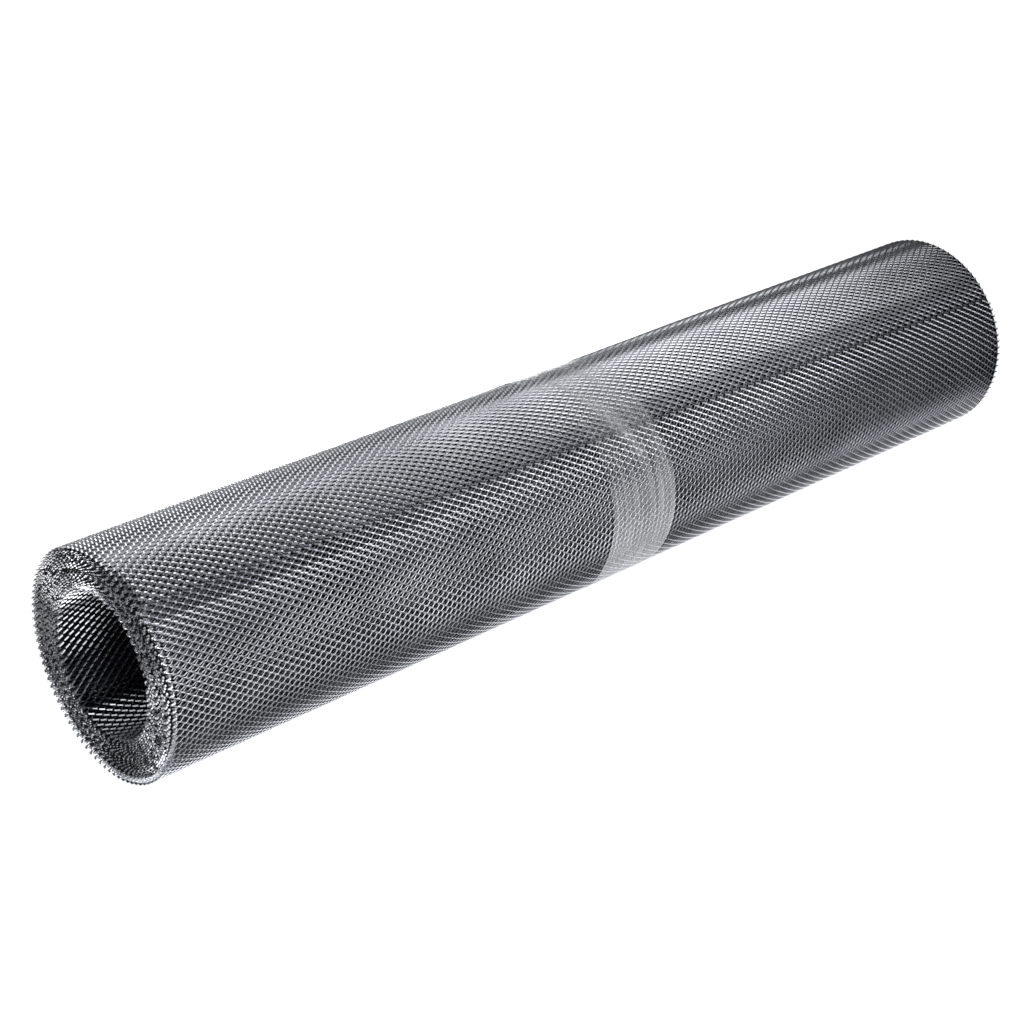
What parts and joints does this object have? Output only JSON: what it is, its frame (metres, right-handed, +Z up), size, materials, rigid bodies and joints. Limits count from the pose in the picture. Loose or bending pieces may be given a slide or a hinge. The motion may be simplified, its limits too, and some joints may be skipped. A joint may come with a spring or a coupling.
{
  "type": "expanded metal mesh roll",
  "caption": "Expanded metal mesh wound into a tight, open-bored roll that stands on its end, held shut by a band of clear film round its middle.",
  "frame": {"origin": "on the floor, on the roll's axis at its lower end", "axes": "+Z up along the roll's axis, -Y towards the sheet's outer free edge"},
  "size_m": [0.1968, 0.1978, 1],
  "materials": {
    "mesh_metal": "bright, cut strands of bare or zinc-coated sheet",
    "clear_film": "clear, glossy, slightly creased"
  },
  "bodies": {
    "root": {"mesh_roll": "mesh_metal", "film_band": "clear_film"}
  },
  "joints": []
}
